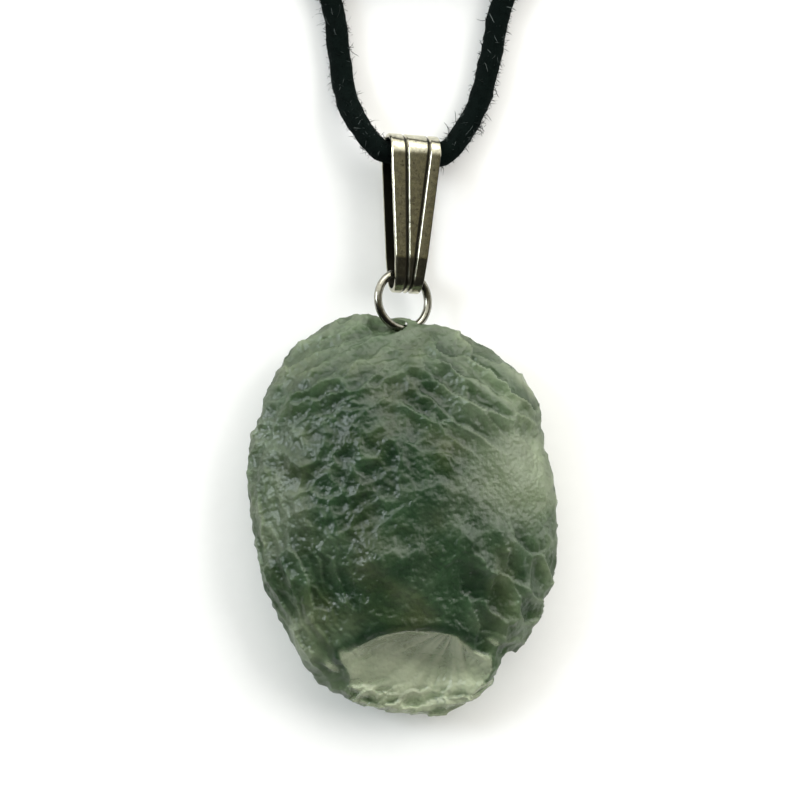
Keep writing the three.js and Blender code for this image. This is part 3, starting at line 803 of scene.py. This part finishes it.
def lead(side, height):
    """From the knot in the eye of the coil to the start of its innermost turn."""
    bend = (COIL_INNER - LEAD_GAP) / 2
    points = [COIL_CENTRE + Vector((side * 0.0008, -0.0015, 0.0016))]
    for n in range(9):
        angle = math.pi * (1 - n / 8)
        ease = (n / 8) ** 2 * (3 - 2 * n / 8)
        x = side * (COIL_INNER - bend + bend * math.cos(angle))
        z = LEAD_HEIGHT + (height - LEAD_HEIGHT) * ease
        points.append(COIL_CENTRE + Vector((x, bend * math.sin(angle), z)))
    return points


def cord_path(spacing):
    """The whole cord: from the knot, by the coil's lower layer and the bail, and back by its upper layer."""
    low, high = COIL_RADIUS, 3 * COIL_RADIUS
    start = lead(-1, low) + coil_layer(-1, low)[1:-1]
    end = coil_layer(1, high)[::-1][1:] + lead(1, high)[::-1][1:]
    return smooth_path(start + [Vector(p) for p in CORD_ROUTE] + end, spacing)


def tube_along(path, radius, sides, name, closed=False):
    """A round tube along a path."""
    curve = bpy.data.curves.new(name, "CURVE")
    curve.dimensions = "3D"
    curve.bevel_depth = radius
    curve.bevel_resolution = max(0, sides // 4 - 1)
    curve.use_fill_caps = not closed
    spline = curve.splines.new("POLY")
    spline.use_cyclic_u = closed
    spline.points.add(len(path) - 1)
    for point, place in zip(spline.points, path):
        point.co = (*place, 1.0)
    holder = bpy.data.objects.new(name, curve)
    bpy.context.scene.collection.objects.link(holder)
    bpy.context.view_layer.update()
    mesh = bpy.data.meshes.new_from_object(holder.evaluated_get(bpy.context.evaluated_depsgraph_get()))
    bpy.data.objects.remove(holder)
    mesh.name = name
    return mesh


def pressed_by_tie(points):
    """Points of the coil, pressed together where the tie goes round it."""
    way = points - np.array(COIL_CENTRE)
    far = np.linalg.norm(way[:, :2], axis=1)
    angle = np.arctan2(way[:, 1], way[:, 0]) - TIE_ANGLE
    beside = far * np.sin(angle)
    in_coil = (np.cos(angle) > 0) * (far > COIL_INNER - 1.2 * MM)
    near = np.exp(-((beside / TIE_REACH) ** 2)) * in_coil
    pressed = points.copy()
    pressed[:, 2] = COIL_MIDDLE + (points[:, 2] - COIL_MIDDLE) * (1 - TIE_PRESS * near)
    middle_radius = (COIL_INNER + COIL_OUTER) / 2
    scale = 1 - near * TIE_GATHER * (far - middle_radius) / np.maximum(far, 1e-6)
    pressed[:, :2] = np.array(COIL_CENTRE)[:2] + way[:, :2] * scale[:, None]
    return pressed


def roughened(mesh, amount, salt):
    """The cord's surface, a little uneven, and pressed where the tie is."""
    points = np.empty(len(mesh.vertices) * 3)
    mesh.vertices.foreach_get("co", points)
    points = points.reshape(-1, 3)
    normals = np.array([v.normal for v in mesh.vertices])
    uneven = smooth_noise(points / (0.9 * MM), salt) + 0.7 * smooth_noise(points / (0.4 * MM), salt + 1)
    points = pressed_by_tie(points + normals * (amount * uneven)[:, None])
    points[:, 2] = np.maximum(points[:, 2], 0.0)
    mesh.vertices.foreach_set("co", points.ravel())
    mesh.update()


def cord_finish(settings):
    """Soft black cord: matt, with a faint nap."""
    finish = Finish("black_cord")
    place = finish.millimetres()
    lint = finish.mask("lint")
    nap = finish.noise(place, 7.0, 5.0)
    tufts = finish.noise(place, 1.6, 3.0)
    pale = tuple(2.6 * part for part in settings.colour)
    worn = finish.between(tufts * 0.5 + nap * 0.5, -0.4, 1.2).clamped()
    felt = finish.mix(worn, rgba(settings.colour), rgba(pale))
    finish.set(
        Base_Color=finish.mix(lint, felt, rgba((0.13, 0.15, 0.145))),
        Roughness=finish.between(nap, 0.85, 1.0),
        Specular_IOR_Level=0.06,
        Normal=finish.bump(nap * 0.6 + tufts * 0.4, 0.00014, 0.9),
    )
    return finish


def make_fibres(settings, paths, finish):
    """Loose fibres along the cord and its knot: short bent slivers, and some long curled wisps."""
    pick = random.Random(11)
    bm = bmesh.new()
    lint = bm.faces.layers.float.new("lint")
    radius = settings.diameter / 2
    for path in paths:
        count = round(settings.fibres * (len(path) - 1) * (path[1] - path[0]).length / MM)
        for _ in range(count):
            place = pick.randrange(1, len(path) - 1)
            along = (path[place + 1] - path[place - 1]).normalized()
            out = Matrix.Rotation(pick.uniform(0, 2 * math.pi), 3, along) @ along.orthogonal().normalized()
            wisp = pick.random() < 0.14
            length = settings.fibre_length * (pick.uniform(0.7, 1.6) if wisp else 0.25 + 0.6 * pick.random())
            way = along * pick.uniform(-1, 1) + out * pick.uniform(0.1, 0.7)
            way += along.cross(out) * pick.uniform(-0.7, 0.7)
            steps = 5 if wisp else 2
            pale = 0.8 * pick.random() if pick.random() < 0.3 else 0.0
            root = path[place] + out * radius * 0.95
            add_fibre(bm, lint, root, way.normalized(), length, steps, pale, pick)
    mesh = mesh_from(bm, "cord_fibres")
    points = np.empty(len(mesh.vertices) * 3)
    mesh.vertices.foreach_get("co", points)
    mesh.vertices.foreach_set("co", pressed_by_tie(points.reshape(-1, 3)).ravel())
    fibres = finished_object("cord_fibres", mesh, finish, "bail")
    return fibres


def add_fibre(bm, lint, root, way, length, steps, pale, pick):
    """A narrow ribbon that curls as it goes and ends in a point."""
    bend = Vector([pick.uniform(-1, 1) for _ in range(3)]) * (0.9 if steps > 2 else 0.5)
    across = way.orthogonal().normalized() * (0.03 if steps > 2 else 0.024) * MM
    places = [root]
    for _ in range(steps):
        way = (way + bend + Vector([pick.uniform(-0.3, 0.3) for _ in range(3)])).normalized()
        places.append(places[-1] + way * length / steps)
    if min(place.z for place in places) < 0.02 * MM:
        return
    edge = [bm.verts.new(root - across), bm.verts.new(root + across)]
    for place in places[1:-1]:
        after = [bm.verts.new(place - across), bm.verts.new(place + across)]
        bm.faces.new((edge[0], edge[1], after[1], after[0]))[lint] = pale
        edge = after
    bm.faces.new((edge[0], edge[1], bm.verts.new(places[-1])))[lint] = pale


# The knot's middle, from the coil's, and one of the cord's two ends out of it; the other is its mirror image
KNOT_CENTRE = Vector((0, -0.0016, 0.002))
KNOT_RADIUS = 0.86 * MM
TAIL_ROUTE = [
    (0.0006, -0.0022, 0.0014), (0.0014, -0.0038, 0.001), (0.0027, -0.0044, 0.001), (0.004, -0.0036, 0.001),
]


def knot_paths():
    """The knot's own tight loops, and the two short ends that come out of it."""
    loops = []
    for n in range(90):
        t = 2 * math.pi * n / 90
        reach = 2 + math.cos(3 * t)
        across, up = 0.68 * reach * math.cos(2 * t), 0.48 * reach * math.sin(2 * t)
        loop = Vector((across, up, 1.02 * math.sin(3 * t)))
        loops.append(COIL_CENTRE + KNOT_CENTRE + loop * MM)
    ends = []
    for side in (-1, 1):
        route = [COIL_CENTRE + Vector((side * x, y, z)) for x, y, z in TAIL_ROUTE]
        ends.append(smooth_path(route, 0.3 * MM))
    return loops, ends


def make_knot(settings, finish):
    """The knot, and the routes that its loose fibres follow."""
    loops, ends = knot_paths()
    bm = bmesh.new()
    tubes = [tube_along(loops, KNOT_RADIUS, 20, "knot_loops", closed=True)]
    tubes += [tube_along(end, 0.96 * settings.diameter / 2, 20, "knot_end") for end in ends]
    for tube in tubes:
        bm.from_mesh(tube)
    mesh = mesh_from(bm, "knot")
    roughened(mesh, 0.06 * MM, 9)
    knot = finished_object("knotted_ends", mesh, finish, "bail")
    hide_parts("cord_knot")
    return knot, [[*loops, loops[0], loops[1]], *ends]


# The tie's thread, in a plane across the coil: its near and far sides from the coil's middle, bottom and top
TIE_SIDES = (0.00715, 0.01683, 0.00025, 0.00375)
TIE_TURNS = 4


def tie_path(thread):
    """A thread wound side by side round the coil, with rounded corners."""
    near, far, low, high = TIE_SIDES
    corner = 0.0012
    middles = [(far - corner, high - corner, 0), (near + corner, high - corner, 90)]
    middles += [(near + corner, low + corner, 180), (far - corner, low + corner, 270)]
    round_once = []
    for x, z, start in middles:
        for n in range(9):
            angle = math.radians(start + 90 * n / 8)
            round_once.append((x + corner * math.cos(angle), z + corner * math.sin(angle)))
    out = Vector((math.cos(TIE_ANGLE), math.sin(TIE_ANGLE), 0))
    across = Vector((-math.sin(TIE_ANGLE), math.cos(TIE_ANGLE), 0))
    points = []
    for n in range(TIE_TURNS * len(round_once)):
        far_out, height = round_once[n % len(round_once)]
        shift = thread * (n / len(round_once) * (TIE_TURNS - 1) / TIE_TURNS - (TIE_TURNS - 1) / 2)
        points.append(COIL_CENTRE + out * far_out + across * shift + Vector((0, 0, height)))
    return smooth_path(points, 0.2 * MM)


def make_tie(settings):
    """The thread that is wound four times round the coil to keep it together."""
    finish = Finish("tie_thread")
    place = finish.millimetres()
    stretched = {"Vector": place, "Rotation": (0.5, 0.4, TIE_ANGLE), "Scale": (1.5, 7, 5)}
    lay = finish.node("ShaderNodeMapping", {}, stretched)
    strands = finish.noise(lay, 2.2, 4.0)
    wear = finish.noise(place, 1.3, 3.0)
    dark, pale = rgba((0.006, 0.006, 0.006)), rgba((0.035, 0.036, 0.036))
    finish.set(
        Base_Color=finish.mix(strands * 0.6 + wear * 0.4, dark, pale),
        Roughness=finish.between(wear, 0.55, 0.9),
        Normal=finish.bump(strands, 0.00012, 0.8),
    )
    mesh = tube_along(tie_path(settings.tie_thread), settings.tie_thread / 2, 12, "coil_tie_thread")
    tie = finished_object("coil_tie_thread", mesh, finish, "bail")
    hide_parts("coil_tie")
    return tie


class PENDANT_OT_cord(bpy.types.Operator):
    """Make the cord, its loose fibres, its knot and the tie round its coil"""

    bl_idname = "pendant.cord"
    bl_label = "Cord"

    def execute(self, context):
        settings = context.scene.pendant_cord
        finish = cord_finish(settings)
        path = cord_path(0.3 * MM)
        mesh = tube_along(path, 0.97 * settings.diameter / 2, 20, "necklace_cord")
        roughened(mesh, 0.085 * MM, 5)
        cord = finished_object("necklace_cord", mesh, finish, "bail")
        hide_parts("cord", "cord_coil")
        knot, knot_routes = make_knot(settings, finish)
        fibres = make_fibres(settings, [path, *knot_routes], finish)
        tie = make_tie(settings)
        return {"FINISHED"}


def area_light(name, place, target, size, watts, colour, mirrored=True):
    """A soft lamp; one that isn't mirrored lights the things but doesn't show in metal or glass."""
    light = bpy.data.lights.new(name, "AREA")
    light.shape = "RECTANGLE"
    light.size, light.size_y = size
    light.energy = watts
    light.color = colour
    lamp = bpy.data.objects.new(name, light)
    bpy.context.scene.collection.objects.link(lamp)
    lamp.location = place
    lamp.visible_glossy = mirrored
    lamp.rotation_euler = (Vector(target) - Vector(place)).to_track_quat("-Z", "Y").to_euler()


def make_camera(scene, settings):
    """The camera, straight above the pendant and level with it."""
    camera = bpy.data.cameras.new("camera")
    camera.lens = camera.sensor_width * settings.distance / settings.width
    camera.clip_start, camera.clip_end = 0.01, 10
    viewer = bpy.data.objects.new("camera", camera)
    scene.collection.objects.link(viewer)
    viewer.location = (-0.174 * MM, 10.17 * MM, settings.distance + 4 * MM)
    scene.camera = viewer


def make_floor(scene, settings):
    """A plain sheet of pale paper, just under the pendant."""
    bm = bmesh.new()
    bmesh.ops.create_grid(bm, x_segments=1, y_segments=1, size=1.5)
    bmesh.ops.translate(bm, verts=bm.verts, vec=(0, 0, -0.06 * MM))
    floor = bpy.data.objects.new("floor", mesh_from(bm, "floor"))
    scene.collection.objects.link(floor)
    paper = Finish("floor_paper")
    grain = paper.noise(paper.millimetres(), 0.8, 4.0)
    shade = tuple(0.97 * part for part in settings.floor)
    paper.set(Base_Color=paper.mix(grain, rgba(settings.floor), rgba(shade)), Roughness=0.9)
    floor.data.materials.append(paper.material)


def make_sky(scene):
    """A room that is dim overhead and towards the foot of the pendant, and brighter beyond its top."""
    scene.world = bpy.data.worlds.new("studio")
    scene.world.use_nodes = True
    sky = Nodes(scene.world.node_tree)
    dark, brown = (0.02, 0.02, 0.018), (0.1, 0.092, 0.052)
    dim, bright = (0.15, 0.14, 0.09), (1.5, 1.49, 1.38)
    direction = sky.node("ShaderNodeTexCoord", output="Generated")
    height = sky.node("ShaderNodeSeparateXYZ", {}, {0: direction}, output="Y")
    stops = ((0.42, dark), (0.49, brown), (0.6, dim), (0.72, bright))
    ramp = sky.node("ShaderNodeValToRGB", {"stops": stops}, {0: height * 0.5 + 0.5})
    sky.join(ramp, sky.tree.nodes["Background"].inputs["Color"])


def make_lights():
    """Soft lamps: a key from the right, a fill, a front light, a cool window at the left and a back light."""
    middle = (0, 0.01, 0)
    area_light("key", (0.8, 0.3, 0.55), middle, (0.75, 0.75), 9.2, (1.0, 0.99, 0.97), mirrored=False)
    area_light("fill", (-0.2, 0.0, 1.0), middle, (1.4, 1.4), 0.4, (1.0, 1.0, 1.0), mirrored=False)
    area_light("front", (-0.1, -0.8, 0.6), middle, (0.9, 0.5), 2.2, (1.0, 1.0, 0.98), mirrored=False)
    area_light("window", (-0.7, 0.25, 0.5), middle, (0.3, 0.45), 4.5, (0.86, 0.94, 1.0))
    area_light("back", (0.1, 0.85, 0.5), middle, (1.1, 0.35), 4.0, (1.0, 0.99, 0.95))


class PENDANT_OT_stage(bpy.types.Operator):
    """Set the floor, the lights and the camera"""

    bl_idname = "pendant.stage"
    bl_label = "Stage"

    def execute(self, context):
        scene = context.scene
        make_camera(scene, scene.pendant_stage)
        make_floor(scene, scene.pendant_stage)
        make_sky(scene)
        make_lights()
        scene.view_settings.view_transform = "Standard"
        scene.cycles.max_bounces = 8
        scene.cycles.transmission_bounces = 7
        scene.cycles.glossy_bounces = 3
        scene.cycles.diffuse_bounces = 3
        return {"FINISHED"}


class PENDANT_PT_panel(bpy.types.Panel):
    """The pendant's pieces and their sizes."""

    bl_idname = "PENDANT_PT_panel"
    bl_label = "Moldavite pendant"
    bl_space_type = "VIEW_3D"
    bl_region_type = "UI"
    bl_category = "Moldavite"

    def draw(self, context):
        for operator, group, _ in STEPS:
            box = self.layout.box()
            settings = getattr(context.scene, group)
            for name in settings.__annotations__:
                box.prop(settings, name)
            box.operator(operator.bl_idname)


# Each step's operator, and the name and class of its settings
STEPS = [
    (PENDANT_OT_stage, "pendant_stage", StageSettings),
    (PENDANT_OT_cord, "pendant_cord", CordSettings),
    (PENDANT_OT_silver, "pendant_silver", SilverSettings),
    (PENDANT_OT_stone, "pendant_stone", StoneSettings),
]


def register():
    for operator, name, group in STEPS:
        bpy.utils.register_class(group)
        setattr(bpy.types.Scene, name, bpy.props.PointerProperty(type=group))
        bpy.utils.register_class(operator)
    bpy.utils.register_class(PENDANT_PT_panel)


def unregister():
    bpy.utils.unregister_class(PENDANT_PT_panel)
    for operator, name, group in reversed(STEPS):
        bpy.utils.unregister_class(operator)
        delattr(bpy.types.Scene, name)
        bpy.utils.unregister_class(group)


def main():
    """Make the whole pendant on its stage."""
    register()
    bpy.ops.pendant.stage()
    bpy.ops.pendant.cord()
    bpy.ops.pendant.silver()
    bpy.ops.pendant.stone()


if __name__ == "__main__":
    main()
